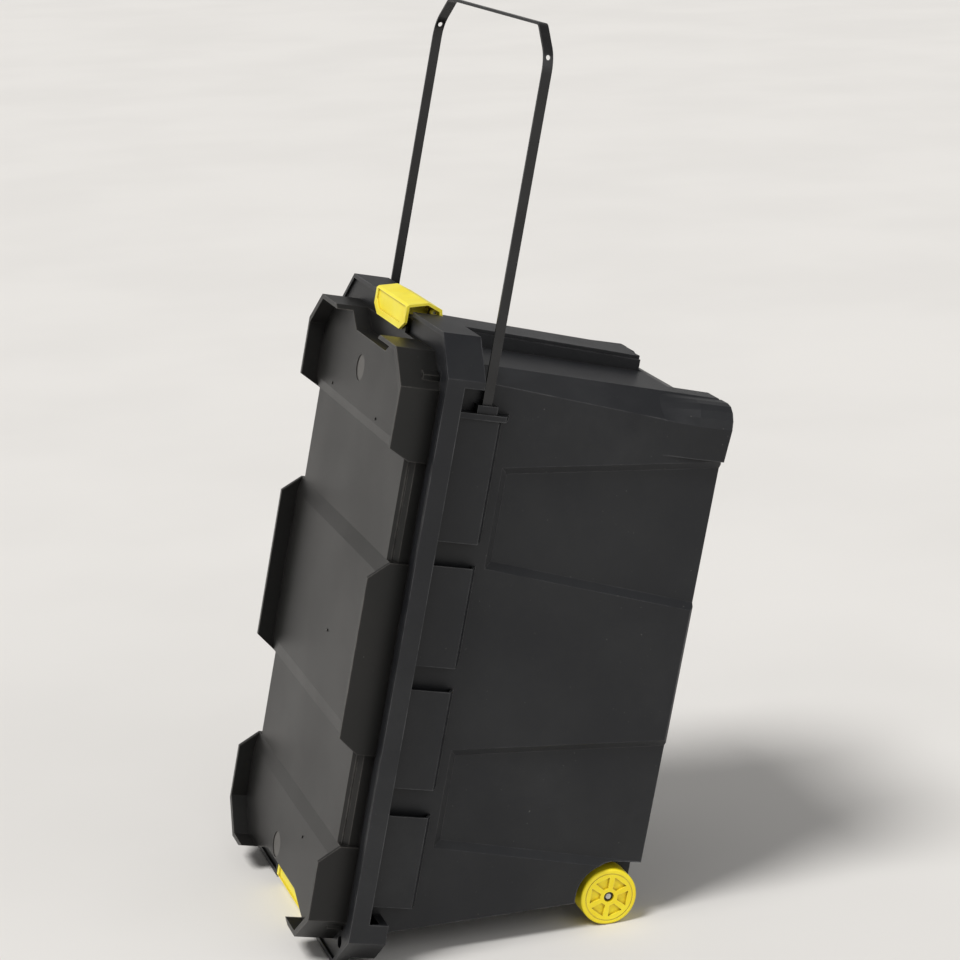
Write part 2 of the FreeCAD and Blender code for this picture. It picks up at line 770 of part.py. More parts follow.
FLARE_STEPS = 4                                     # faces round the corner of a base flare


def base_flares():
    """The soft flares at the base corners of the handle end, round in plan."""
    root = side_base - dim("flare_root")
    fade = dim("flare_fade")
    rise = fade / seat
    sunk = dim("flare_sunk")
    wall_side = side_base + (side_top - side_base) * rise - sunk
    wall_end = end_base + (end_top - end_base) * rise - sunk
    wall_corner = dim("end_corner_base") + (dim("end_corner_top") - dim("end_corner_base")) * rise
    proud = side_base + dim("flare_proud")
    end_face = end_base - dim("base_edge") / 4
    start = end_base - dim("flare_length")
    turn = dim("flare_round")
    full = [(start, -root), (start, -side_base - dim("flare_step"))]
    faded = [(start, -root), (start, -wall_side)]
    for step in range(FLARE_STEPS + 1):
        angle = math.pi / 2 * step / FLARE_STEPS
        full.append((end_face - turn * (1 - math.sin(angle)), turn * (1 - math.cos(angle)) - proud))
    full.append((end_face, dim("end_corner_y") - side_base))
    for step in range(FLARE_STEPS + 2):
        share = step / (FLARE_STEPS + 1)
        faded.append((wall_end - wall_corner * (1 - share), dim("end_corner_y") * share - wall_side))
    flare = loft("base_flare", [
        polygon("flare_foot", full, "XY", 0),
        polygon("flare_full", full, "XY", dim("flare_height")),
        polygon("flare_faded", faded, "XY", fade),
    ])
    return both_sides("base_flare", flare)


def hand_grip(name, grow):
    """Cutter for the wedge under the end wall, where a hand lifts the box."""
    top = dim("grip_height") + grow
    face = end_base - grow
    depth = dim("grip_depth")
    fall = depth / dim("grip_height")
    outline = [
        (face + fall * clear, top + clear),
        (face - fall * (top - below - grow), below),
        (face + depth * 2, below),
        (face + depth * 2, top + clear),
    ]
    return prism(name, outline, "XZ", 0, (dim("grip_half") + grow) * 2, both=True)


CHANNEL_COVERS = (1, 2, 3, 4)                       # counted from the handle end


def channel_stretch(name, start, end, half, low, inset=0):
    """A stretch of the near channel's outline, with a sloped foot, drawn in by an inset."""
    inset = as_size(inset)
    root = inset - side_base
    outline = [
        (root, skirt_foot - inset),
        (inset - half, skirt_foot - inset),
        (inset - half, low + dim("cover_slope") + inset / 2),
        (root, low + inset),
    ]
    return prism(name, outline, "YZ", start, end - start)


def channel_side():
    """The handle's channel under the rim on the near side: covers, stop rib and entry."""
    low = dim("channel_low")
    pieces = []
    for index in CHANNEL_COVERS:
        start = dim(f"cover_{index}_low")
        end = entry_start if index == 1 else dim(f"cover_{index}_high")
        outer = channel_stretch(f"cover_{index}_outer", start, end, channel_half, low)
        inner = channel_stretch(
            f"cover_{index}_inner", start - 1, end + 1, channel_half, low, dim("channel_wall")
        )
        pieces.append(cut(f"cover_{index}", outer, [inner]))
    entry_half = channel_half + dim("entry_proud")
    entry_low = dim("entry_low")
    pieces.append(channel_stretch("entry_flange", entry_start, collar_start, entry_half, entry_low))
    pieces.append(block(
        "entry_collar",
        (collar_start, -channel_half, strip_level - dim("collar_half")),
        (collar_end, -side_base, strip_level + dim("collar_half")),
    ))
    pieces.append(channel_stretch("stop_rib", stop_face, stop_face + dim("stop_rib"), channel_half, low))
    return fuse("channel_covers", pieces)


def leg_passage():
    """The slot that the leg runs through in the stop rib and the entry, on the near side."""
    gap = dim("leg_gap")
    half_thick = dim("strip_thick") / 2 + gap
    half_width = dim("strip_width") / 2 + gap
    return block(
        "leg_slot",
        (dim("cover_4_low"), -(leg_middle + half_thick), strip_level - half_width),
        (collar_end + clear, -(leg_middle - half_thick), strip_level + half_width),
    )


def axle_webs(outer):
    """Webs across the axle bay, cut to the tub's outer faces."""
    half = dim("web") / 2
    bar = block(
        "web_field",
        (below, -(arch_inner - 0.01), 0),
        (axle_x + dim("step_x") + 1, arch_inner - 0.01, axle_level + dim("step_level") + 1),
    )
    places = []
    for side in (-1, 1):
        middle = dim("web_y") * side
        near, far = (below, middle - half, 0), (axle_x * 2, middle + half, panel)
        places.append(block(f"web_{side + 2}", near, far))
    slices = fuse("web_slices", places)
    return common("axle_webs", [outer, bar, slices])


def latch_lugs():
    """Two lugs in each latch bay that carry the latch's pin."""
    solids = []
    radius = dim("lug_radius")
    width = dim("lug_width")
    for end in (handle_end, wheel_end):
        root = end.at(dim("bay_depth") + 1)
        name = f"lug_{end.name}"
        level = width / 2 - lug_place
        eye = cylinder(f"{name}_eye", (end.edge, pivot_level), radius, "XZ", level, width)
        arm = prism(
            f"{name}_arm",
            [
                (root, pivot_level - radius),
                (end.edge, pivot_level - radius),
                (end.edge, pivot_level + radius),
                (end.at(dim("bay_depth")), pivot_level + radius * 2),
                (root, pivot_level + radius * 2),
            ],
            "XZ", level, width,
        )
        solids += both_sides(name, fuse(name, [eye, arm]))
    return solids


def pin_bores():
    """Bores for the latch pins in the lugs."""
    return [
        cylinder(
            f"pin_bore_{end.name}", (end.edge, pivot_level), dim("pin_radius"), "XZ",
            0, bay_half * 2, both=True,
        )
        for end in (handle_end, wheel_end)
    ]


def lock_pillars(name, radius, past):
    """Upright round bars at the tie-down holes, from under the corner blocks to the ledge."""
    foot = block_foot - past
    one = cylinder(name, (lock_x, -lock_y), radius, "XY", foot, seat + past - foot)
    return both_sides(name, one)


def make_tub():
    """The tub's walls, open at the top, with the wheel arches, axle bay and handle channels."""
    outer = tub_loft("tub_outer", 0, 0, seat)
    skin = cut("tub_skin", outer, sunk_panels("outer_panel", 0))
    space = tub_loft("tub_space", wall, wall, panel)
    arches = wheel_arches("arch", arch_radius, arch_inner, rim_half)
    housings = wheel_arches("housing", arch_radius + wall, arch_inner - wall, rim_half)
    bay = axle_bay("axle_bay", 0, arch_inner - wall)
    bay_wall = axle_bay("axle_bay_wall", wall, side_base)
    grip_wall = hand_grip("grip_wall", wall)
    hollow = cut("tub_hollow", space, sunk_panels("inner_panel", wall) + housings + [bay_wall, grip_wall])
    spine_space = end_spine("spine_space", wall, apron_foot - wall)
    channel = channel_side()
    passage = leg_passage()
    body = fuse(
        "tub_walls",
        [skin, end_spine("spine", 0, apron_foot)] + base_flares() + both_sides("channel", channel),
    )
    emptied = cut(
        "tub_emptied", body,
        [hollow, spine_space, bay, hand_grip("grip", 0)] + arches + both_sides("passage", passage),
    )
    whole = fuse("tub_whole", [emptied, axle_webs(outer)])
    axle_bore = cylinder(
        "axle_bore", (axle_x, axle_level), dim("axle_radius") + dim("axle_gap"), "XZ",
        0, (arch_inner + clear) * 2, both=True,
    )
    return cut("tub", whole, [axle_bore])


def make_tub_rim():
    """The tub's rim, which grows out of the walls' outer faces and carries the latches."""
    solid = fuse(
        "rim_solid",
        [make_rim()] + corner_blocks() + latch_lugs()
        + lock_pillars("lock_boss", dim("lock_bore") + dim("lock_wall"), 0),
    )
    walls = tub_loft("rim_walls", 0, 0, seat)
    holes = lock_pillars("lock_hole", dim("lock_bore"), clear)
    return cut("tub_rim", solid, [walls] + holes + pin_bores())


# ---------------------------------------------------------------- lid

def lid_outline(name, level, inset):
    """The lid's outline over its lips, drawn in by an inset."""
    inset = as_size(inset)
    corner_x = dim("lid_corner_x")
    corner_y = dim("lid_corner_y")
    points = octagon(
        inset, lid_length - inset, dim("lid_half") - inset, corner_x, corner_y, corner_x, corner_y
    )
    return polygon(name, points, "XY", level)


def lid_bands():
    """The three cross bands: foot and top of the ramp at each side, along the length."""
    start = as_size(0)
    handle_foot = lid_length - dim("handle_band")
    return [
        ("handle", handle_foot, handle_foot + dim("handle_ramp"), lid_length, lid_length),
        ("middle", dim("middle_band_low_a"), dim("middle_band_top_a"),
         dim("middle_band_top_b"), dim("middle_band_low_b")),
        ("wheel", start, start, dim("wheel_band_top"), dim("wheel_band_low")),
    ]


def band_field(name, rise, lower, inset):
    """The three bands as blocks across the lid, up to a rise above the panel."""
    inset = as_size(inset)
    solids = []
    for place, low_a, top_a, top_b, low_b in lid_bands():
        outline = [
            (low_a + inset, lower),
            (low_b - inset, lower),
            (low_b - inset, panel - inset),
            (top_b - inset, panel + rise - inset),
            (top_a + inset, panel + rise - inset),
            (low_a + inset, panel - inset),
        ]
        solids.append(prism(f"{name}_{place}", outline, "XZ", 0, dim("lid_half") * 2, both=True))
    return fuse(name, solids)


def notch(name, end_x, direction, depth, inner, flare, grow, floor):
    """Cutter for a latch notch in one end of the lid: a trapezoid seen from above."""
    reach = dim("notch_reach")
    slope = flare / depth
    tip = end_x - (depth + grow) * direction
    far = end_x + reach * direction
    inner = inner + grow
    wide = inner + slope * (depth + grow + reach)
    return prism(name, [(tip, -inner), (far, -wide), (far, wide), (tip, inner)], "XY", floor, lid_height)


NUB_PLACES = [(703, 149), (702, -81), (388, -28), (101, -76)]   # moulding nubs on the panel
lid_height = dim("lid_drop") + dim("lip_rise") + clear


def make_lid():
    """The lid: a shouldered plate with raised bands, lips, latch notches and a locating rib."""
    shell = dim("lid_wall")
    inset = dim("plate_inset")
    shoulder_level = panel - dim("shoulder_drop")
    plate = loft("lid_plate", [
        lid_outline("plate_foot", seat, inset),
        lid_outline("plate_shoulder", shoulder_level, inset),
        lid_outline("plate_top", panel, inset + dim("shoulder_run")),
    ])
    full = extrude("lid_full", lid_outline("lid_full_outline", seat, 0), lid_height)
    inside_lips = extrude(
        "inside_lips", lid_outline("inside_lips_outline", seat - 1, dim("lip_wall")), lid_height + 2
    )
    ring = cut("lip_ring", full, [inside_lips])
    bands = common("lid_bands", [full, band_field("band_field", dim("band_rise"), seat, 0)])
    lips = common("lid_lips", [ring, band_field("lip_field", dim("lip_rise"), seat, 0)])
    mouth_inset = dim("rib_gap") + wall
    rib_level = seat - dim("rib_depth")
    rib_height = dim("rib_depth") + dim("lid_drop") - shell
    rib = cut(
        "locating_rib",
        extrude("rib_outer", mouth_outline("rib_outer_outline", rib_level, mouth_inset), rib_height),
        [extrude(
            "rib_inner", mouth_outline("rib_inner_outline", rib_level - 1, mouth_inset + dim("rib_wall")),
            rib_height + 2,
        )],
    )
    catch_half = latch_half - dim("catch_lap")
    catch = block(
        "catch_ledge",
        (lid_length - dim("catch_root"), -catch_half, catch_top - shell),
        (handle_end.at(dim("catch_setback")), catch_half, catch_top),
    )
    hollow = loft("lid_hollow", [
        lid_outline("hollow_foot", seat - 1, inset + shell),
        lid_outline("hollow_shoulder", shoulder_level - shell / 2, inset + shell),
        lid_outline("hollow_top", panel - shell, inset + dim("shoulder_run") + shell / 2),
    ])
    lip_outline = lid_outline("lip_space_outline", seat - 1, dim("lip_wall"))
    lip_space = common("lip_space", [
        extrude("lip_space_outer", lip_outline, lid_height),
        band_field("space_field", dim("band_rise"), seat - 1, shell),
    ])
    notches = []
    floors = []
    ends = (
        ("handle", lid_length, 1, latch_half - dim("notch_lap_handle")),
        ("wheel", as_size(0), -1, latch_half + dim("notch_play_wheel")),
    )
    for place, end_x, direction, inner in ends:
        sizes = (dim(f"notch_depth_{place}"), inner, dim(f"notch_flare_{place}"))
        notches.append(notch(f"notch_{place}", end_x, direction, *sizes, as_size(0), catch_top))
        floors.append(notch(f"notch_floor_{place}", end_x, direction, *sizes, shell, catch_top - shell))
    cavity = cut("lid_cavity", fuse("lid_spaces", [hollow, lip_space]), floors)
    wheel_clear = block(
        "wheel_latch_clear",
        (rim_low - clear, -bay_half, seat - 1),
        (wheel_end.at(dim("catch_setback")), bay_half, seat + lid_height),
    )
    mark_level = panel + dim("band_rise") - dim("boss_depth")
    mark_places = (
        ("handle", lid_length - dim("boss_handle")),
        ("wheel", dim("boss_wheel_x")),
    )
    marks = []
    for place, mark_x in mark_places:
        centre = (mark_x, dim(f"boss_{place}_y"))
        marks.append(cylinder(f"sunk_mark_{place}", centre, dim("boss_radius"), "XY", mark_level, clear))
    nubs = []
    for index, centre in enumerate(NUB_PLACES):
        nub = cylinder(f"nub_{index}", centre, dim("nub_radius"), "XY", panel - 1, dim("nub_rise") + 1)
        nubs.append(nub)
    upper = cut("lid_upper", fuse("lid_solid", [plate, bands, lips]), [cavity])
    return cut("lid", fuse("lid_joined", [upper, rib, catch] + nubs), notches + [wheel_clear] + marks)


def mouth_outline(name, level, inset):
    """The tub's mouth at the rim drawn in by an inset from the outer wall face."""
    sizes = (side_top, dim("wheel_end_top"), end_top, dim("end_corner_top"))
    return wall_outline(name, level, *sizes, inset)


# ---------------------------------------------------------------- pull handle

def new_body(name):
    """An empty PartDesign body."""
    return doc.addObject("PartDesign::Body", name)


def round_edges(body, name, radius, chosen):
    """Round the edges of a body that a test picks out."""
    doc.recompute()
    base = body.Tip
    names = [f"Edge{index}" for index, edge in enumerate(base.Shape.Edges, start=1) if chosen(edge)]
    feature = body.newObject("PartDesign::Fillet", name)
    feature.Base = (base, names)
    bind(feature, "Radius", radius)
    body.Tip = feature
    return feature


slider_top = stop_face - dim("slider_stop")
leg_end = slider_top - dim("slider_seat")
rivet_x = leg_end + dim("rivet_inset")
slider_inner = leg_middle - dim("strip_thick") / 2 - dim("slider_back")


def strip_path(offset):
    """Points of the handle's bent strip, moved outwards from its middle line by an offset."""
    slant_x = crossbar_x - shoulder_x
    slant_y = leg_middle - crossbar_half
    slant = math.hypot(slant_x.value, slant_y.value)
    leg = leg_middle + offset
    shoulder = shoulder_x + offset * ((slant - slant_x.value) / slant_y.value)
    cross = crossbar_x + offset
    half = crossbar_half + offset * ((slant - slant_y.value) / slant_x.value)
    near_side = [(leg_end, -leg), (shoulder, -leg), (cross, -half)]
    return near_side + [(x, -y) for x, y in near_side[::-1]]


def edges_at(points):
    """A test for the upright edges that stand on one of the points."""
    places = [vector(point) for point in points]

    def stands_there(edge):
        middle = edge.CenterOfMass
        return any(math.hypot(middle.x - place.x, middle.y - place.y) < 0.01 for place in places)

    return stands_there


def make_handle():
    """The pull handle: one flat steel strip bent to a U with slanted corners."""
    body = new_body("pull_handle")
    half = dim("strip_thick") / 2
    loop = strip_path(half) + strip_path(-half)[::-1]
    outline = polygon("strip_outline", loop, "XY", strip_level, body)
    pad(body, "strip", outline, dim("strip_width"), both=True)
    for face, offset in (("outer", half), ("inner", -half)):
        path = strip_path(offset)
        shoulders = edges_at([path[1], path[4]])
        round_edges(body, f"shoulder_bends_{face}", dim("shoulder_bend") + offset, shoulders)
        corners = edges_at([path[2], path[3]])
        round_edges(body, f"crossbar_bends_{face}", dim("crossbar_bend") + offset, corners)
    through = leg_middle * 3
    hole = circle("hang_hole", (shoulder_x, strip_level), dim("hang_hole"), "XZ", 0, body)
    pocket(body, "hang_holes", hole, through, both=True)
    rivet = circle("rivet_seat", (rivet_x, strip_level), dim("rivet_radius"), "XZ", 0, body)
    pocket(body, "rivet_seats", rivet, through, both=True)
    return body


def make_slider(side, place):
    """A plastic slide block riveted on one leg's end, trapped in the channel."""
    body = new_body(f"slide_block_{place}")
    height = dim("slider_height") / 2
    points = [
        (slider_top - dim("slider_length"), strip_level - height),
        (slider_top, strip_level - height),
        (slider_top, strip_level + height),
        (slider_top - dim("slider_length"), strip_level + height),
    ]
    outline = polygon(f"slider_{place}_outline", points, "XZ", slider_outer * side, body)
    pad(body, f"slider_{place}_block", outline, slider_outer - slider_inner, backwards=side < 0)
    half_width = dim("strip_width") / 2
    slot = [
        (leg_end, strip_level - half_width),
        (slider_top + 1, strip_level - half_width),
        (slider_top + 1, strip_level + half_width),
        (leg_end, strip_level + half_width),
    ]
    far = (leg_middle + dim("strip_thick") / 2) * side
    seat_sketch = polygon(f"slider_{place}_slot", slot, "XZ", far, body)
    pocket(body, f"slider_{place}_seat", seat_sketch, dim("strip_thick"), backwards=side > 0)
    hole = circle(f"slider_{place}_hole", (rivet_x, strip_level), dim("rivet_radius"), "XZ", 0, body)
    pocket(body, f"slider_{place}_bore", hole, channel_half * 3, both=True)
    return body


def make_rivets():
    """The two rivets that hold the slide blocks on the legs."""
    length = slider_outer - slider_inner
    rivet = cylinder("rivet", (rivet_x, strip_level), dim("rivet_radius"), "XZ", -slider_inner, length)
    return fuse("handle_rivets", both_sides("rivet", rivet))


# ---------------------------------------------------------------- wheels

def make_axle():
    """The steel axle through the webs and both wheels."""
    length = (wheel_face - dim("axle_recess")) * 2
    return cylinder("wheel_axle", (axle_x, axle_level), dim("axle_radius"), "XZ", 0, length, both=True)


def make_wheel(side, place):
    """A solid plastic wheel with six pockets in its face and a sunk hub."""
    body = new_body(f"wheel_{place}")
    centre = (axle_x, axle_level)
    face = wheel_face * side
    outward = side < 0

    def disc(name, radius, level):
        sketch = empty_sketch(name, "XZ", level, body, centre)
        return circle(name, (0, 0), radius, sketch=sketch)

    tread = disc(f"tread_outline_{place}", dim("wheel_radius"), wheel_inner * side)
    pad(body, f"tread_{place}", tread, dim("wheel_width"), backwards=not outward)
    doc.recompute()
    rims = edges_on_rim(dim("wheel_radius").value)
    round_edges(body, f"tread_edges_{place}", dim("tread_edge"), rims)
    groove = disc(f"face_ring_{place}", dim("ring_outer"), face)
    circle("", (0, 0), dim("ring_inner"), sketch=groove)
    pocket(body, f"face_groove_{place}", groove, dim("ring_depth"), backwards=not outward)
    sink = disc(f"hub_sink_outline_{place}", dim("hub_sink_radius"), face)
    pocket(body, f"hub_sink_{place}", sink, dim("hub_sink"), backwards=not outward)
    bore = disc(f"bore_outline_{place}", dim("axle_radius") + dim("wheel_bore_gap"), face)
    pocket(body, f"bore_{place}", bore, dim("wheel_width") + 1, backwards=not outward)
    cell = empty_sketch(f"pocket_outline_{place}", "XZ", face, body, centre)
    inner = dim("pocket_inner")
    outer = dim("pocket_outer")
    polygon("", [
        (-dim("pocket_inner_half"), inner),
        (dim("pocket_inner_half"), inner),
        (dim("pocket_outer_half"), outer),
        (-dim("pocket_outer_half"), outer),
    ], sketch=cell)
    first = pocket(body, f"pocket_{place}", cell, dim("pocket_sink"), backwards=not outward)
    ring = body.newObject("PartDesign::PolarPattern", f"pockets_{place}")
    ring.Originals = [first]
    ring.Axis = (cell, ["N_Axis"])
    ring.Angle = 360
    ring.Occurrences = 6
    body.Tip = ring
    return body


def edges_on_rim(radius):
    """A test for full round edges of one radius."""
    def is_rim(edge):
        curve = edge.Curve
        return isinstance(curve, Part.Circle) and abs(curve.Radius - radius) < 0.01

    return is_rim


def flat_ring(name, side, start, thick, outer, inner):
    """A flat ring about the axle that starts this far from the middle."""
    outline = circle(f"{name}_outline", (axle_x, axle_level), outer, "XZ", start * side)
    circle("", (axle_x, axle_level), inner, sketch=outline)
    return extrude(name, outline, thick, backwards=side > 0)


# ---------------------------------------------------------------- latches

def make_latch(end):
    """A latch: plate over the lid's catch, bowed outer wall, foot flange, ribs and barrel."""
    body = new_body(f"{end.name}_latch")
    wide = dim("latch_wall")
    low = catch_top + dim("latch_gap")
    top = low + dim("latch_plate")
    edge = dim("latch_edge")
    shoulder = -dim("latch_shoulder")
    bulge = -dim("latch_bulge")
    foot = -dim("latch_foot")
    reach = dim("flange_reach")
    foot_level = dim("foot_level")
    flange_level = foot_level - dim("flange_drop")
    profile = [
        (end.at(dim("latch_tip")), low),
        (end.at(dim("latch_tip")), top),
        (end.at(shoulder + edge), top),
        (end.at(shoulder), top - edge),
        (end.at(bulge), dim("bulge_level")),
        (end.at(foot), foot_level),
        (end.at(reach), flange_level),
        (end.at(reach), flange_level + wide),
        (end.at(foot + wide), foot_level + wide),
        (end.at(bulge + wide), dim("bulge_level")),
        (end.at(shoulder + wide), low),
    ]
    outline = polygon(f"{body.Name}_profile", profile, "XZ", 0, body)
    pad(body, f"{body.Name}_shell", outline, latch_half * 2, both=True)
    pivot = (end.edge, pivot_level)
    barrel = circle(f"{body.Name}_barrel_outline", pivot, dim("barrel_radius"), "XZ", 0, body)
    pad(body, f"{body.Name}_barrel", barrel, barrel_half * 2, both=True)
    into = dim("rib_into")
    rib_back = end.at(dim("rib_reach"))
    for side in (-1, 1):
        rib = polygon(f"{body.Name}_rib_outline_{side + 2}", [
            (rib_back, low + into),
            (end.at(shoulder + wide), low + into),
            (end.at(bulge + wide - into), dim("bulge_level")),
            (end.at(foot + wide - into), foot_level + wide),
            (end.at(reach), flange_level + wide - into),
            (rib_back, pivot_level),
        ], "XZ", rib_place * side, body)
        pad(body, f"{body.Name}_rib_{side + 2}", rib, dim("rib_width"), both=True)
    tip_half = latch_half - dim("latch_narrow")
    for side in (-1, 1):
        corner = polygon(f"{body.Name}_corner_outline_{side + 2}", [
            (end.at(dim("latch_tip") + 1), tip_half * side),
            (end.at(dim("latch_tip")), tip_half * side),
            (end.at(dim("latch_tip") - dim("latch_corner")), latch_half * side),
            (end.at(dim("latch_tip") - dim("latch_corner")), (latch_half + 1) * side),
            (end.at(dim("latch_tip") + 1), (latch_half + 1) * side),
        ], "XY", low - 1, body)
        pocket(body, f"{body.Name}_corner_{side + 2}", corner, dim("latch_plate") + 2, backwards=True)
    border = dim("latch_border")
    field_start = end.at(dim("latch_tip") - border)
    field_end = end.at(shoulder + edge)
    field_half = tip_half - border / 2
    wide_half = latch_half - border
    field_turn = end.at(dim("latch_tip") - dim("latch_corner") - border)
    field = polygon(f"{body.Name}_field_outline", [
        (field_start, -field_half),
        (field_turn, -wide_half),
        (field_end, -wide_half),
        (field_end, wide_half),
        (field_turn, wide_half),
        (field_start, field_half),
    ], "XY", top, body)
    pocket(body, f"{body.Name}_field", field, dim("latch_field"))
    slope = (bulge - foot) / (dim("bulge_level") - foot_level - wide)
    clear_top = pivot_level + dim("barrel_radius") + 2
    clear_low = pivot_level - dim("lug_radius") - dim("lug_gap")
    clear_wall = end.at(-(dim("lug_radius") + dim("lug_gap") * 2))
    for side in (-1, 1):
        start = dim("lug_width") / 2 + dim("lug_gap") + lug_place * side
        gap = polygon(f"{body.Name}_lug_gap_outline_{side + 2}", [
            (end.at(dim("bay_depth")), flange_level - 5),
            (end.at(bulge - 1), flange_level - 5),
            (end.at(bulge - 1), clear_low),
            (clear_wall, clear_low),
            (clear_wall, foot_level + wide),
            (end.at(foot + wide + slope * (clear_top - foot_level - wide)), clear_top),
            (end.at(dim("bay_depth")), clear_top),
        ], "XZ", start, body)
        width = dim("lug_width") + dim("lug_gap") * 2
        pocket(body, f"{body.Name}_lug_gap_{side + 2}", gap, width, backwards=True)
    radius = dim("pin_radius") + dim("pin_gap")
    bore = circle(f"{body.Name}_bore_outline", pivot, radius, "XZ", 0, body)
    pocket(body, f"{body.Name}_bore", bore, latch_half * 2, both=True)
    return body


def make_latch_pin(end):
    """The steel pin that a latch turns on."""
    return cylinder(f"{end.name}_latch_pin", (end.edge, pivot_level), dim("pin_radius"), "XZ",
                    0, barrel_half * 2 - 2, both=True)


# ---------------------------------------------------------------- the box at rest

def rest_frame():
    """The frame that stands the box on its wheels and its rest flanges.

    The angle is the one at which the wheels and the flanges' lower edges touch one plane.
    """
    along = axle_x - rest_low
    up = rest_foot - axle_level
    along_text = along.text
    up_text = up.text
    radius_text = dim("wheel_radius").text
    frame = doc.addObject("Part::Plane", "rest_frame")
    frame.Placement = FreeCAD.Placement(FreeCAD.Vector(), FreeCAD.Rotation(FreeCAD.Vector(0, 1, 0), -1))
    reach_text = f"sqrt({along_text} ^ 2 + {up_text} ^ 2)"
    lean = f"acos({radius_text} / {reach_text}) - atan({up_text} / {along_text})"
    frame.setExpression("Placement.Rotation.Angle", f"-(90 deg - ({lean}))")
    return frame


def stand_up(nodes):
    """Put every node in the rest frame, with the bottom centre of the whole at the origin."""
    frame = rest_frame()
    for node in nodes:
        node.setExpression("Placement", f"{frame.Name}.Placement")
    doc.recompute()
    whole = FreeCAD.BoundBox()
    for node in nodes:
        whole.add(node.Shape.optimalBoundingBox(False, False))
    frame.Placement.Base = FreeCAD.Vector(-(whole.XMin + whole.XMax) / 2, 0, -whole.ZMin)
    doc.recompute()


def build_nodes():
    """Every piece of the box, by the name of its node."""
    nodes = {
        "tub": make_tub(),
        "tub_rim": make_tub_rim(),
        "lid": make_lid(),
        "pull_handle": make_handle(),
        "handle_rivets": make_rivets(),
        "wheel_axle": make_axle(),
    }
    nut_start = wheel_face - dim("hub_sink") + dim("cap_gap")
    for side, place in ((-1, "right"), (1, "left")):
        nodes[f"slide_block_{place}"] = make_slider(side, place)
        nodes[f"wheel_{place}"] = make_wheel(side, place)
        nodes[f"thrust_washer_{place}"] = flat_ring(
            f"thrust_washer_{place}", side, arch_inner, dim("washer"), dim("washer_radius"),
            dim("axle_radius"),
        )
        nodes[f"push_nut_{place}"] = flat_ring(
            f"push_nut_{place}", side, nut_start, dim("cap_thick"), dim("cap_radius"), dim("axle_radius")
        )
    for end in (handle_end, wheel_end):
        nodes[f"{end.name}_latch"] = make_latch(end)
        nodes[f"{end.name}_latch_pin"] = make_latch_pin(end)
    return nodes


def check_document():
    """Stop if any object of the document failed."""
    failed = [item.Name for item in doc.Objects if "Invalid" in item.State or "Error" in item.State]
    if failed:
        raise RuntimeError(f"failed objects: {failed}")


def write_nodes(nodes):
    """Check each piece and write it to its own file."""
    for name, node in nodes.items():
        node.Label = name
        if node.Shape.isNull() or not node.Shape.isValid():
            raise RuntimeError(f"{name} has no valid shape")
    for name, node in nodes.items():
        node.Shape.exportStep(f"parts/{name}.step")
        print(name, len(node.Shape.Solids), "solid(s)", round(node.Shape.Volume / 1000, 1), "cm3")


all_nodes = build_nodes()
stand_up(list(all_nodes.values()))
check_document()
write_nodes(all_nodes)
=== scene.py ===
import math

import bpy
from mathutils import Matrix, Vector

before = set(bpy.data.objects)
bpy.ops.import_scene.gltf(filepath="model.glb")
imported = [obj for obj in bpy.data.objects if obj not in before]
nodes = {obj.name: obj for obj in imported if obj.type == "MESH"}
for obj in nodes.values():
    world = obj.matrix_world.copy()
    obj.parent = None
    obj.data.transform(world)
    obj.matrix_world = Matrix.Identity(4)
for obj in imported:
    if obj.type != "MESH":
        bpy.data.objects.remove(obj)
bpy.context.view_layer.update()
scene = bpy.context.scene


def srgb(red, green, blue):
    """A colour written as it shows on screen, 0 to 255, as linear values."""
    def linear(value):
        value /= 255
        return value / 12.92 if value <= 0.04045 else ((value + 0.055) / 1.055) ** 2.4

    return (linear(red), linear(green), linear(blue), 1.0)


# ---------------------------------------------------------------- sizes in metres, shares and angles

LEAN = math.radians(12)                            # the box leans back this far at rest
LID_NORMAL = Vector((-math.cos(LEAN), 0, math.sin(LEAN)))
LID_MARKS = (                                      # centres of the lid's sunk marks
    Vector((-0.13493, 0.027, 0.76829)),
    Vector((-0.28153, 0.040, 0.07870)),
)
MARK_RADIUS = 0.0185
MARK_SHARE = 0.45                                  # how far a mark turns to the worn colour
SOFT_RIM = 0.94                                    # a mark fades from this share of its radius
BLACK_EDGE = 0.0028                                # reach of the worn and painted-highlight edges
YELLOW_EDGE = 0.0016
COAT_EDGE = 0.0008
NEAR_CREASE = 0.007                                # reach of the narrow and the wide painted shade in creases
WIDE_CREASE = 0.060
# reach of the painted shade in the yellow plastic's creases
YELLOW_CREASE = 0.005
ROUNDED_ANGLE = math.radians(32)                   # sharper edges than this are rounded
FLOOR_REACH = 40

# ---------------------------------------------------------------- colours of wear, dirt and painted shade

BLACK_GLOSS = 0.28                                 # specular level of the black plastic
DUST_SPECK = srgb(120, 118, 114)
YELLOW_GRIME = srgb(206, 178, 36)
YELLOW_SCRATCH = srgb(196, 168, 60)
# painted shade: the deep yellow that creases and pockets darken towards
YELLOW_SHADE = srgb(150, 116, 6)
COAT_WORN = srgb(96, 95, 92)

# ---------------------------------------------------------------- materials

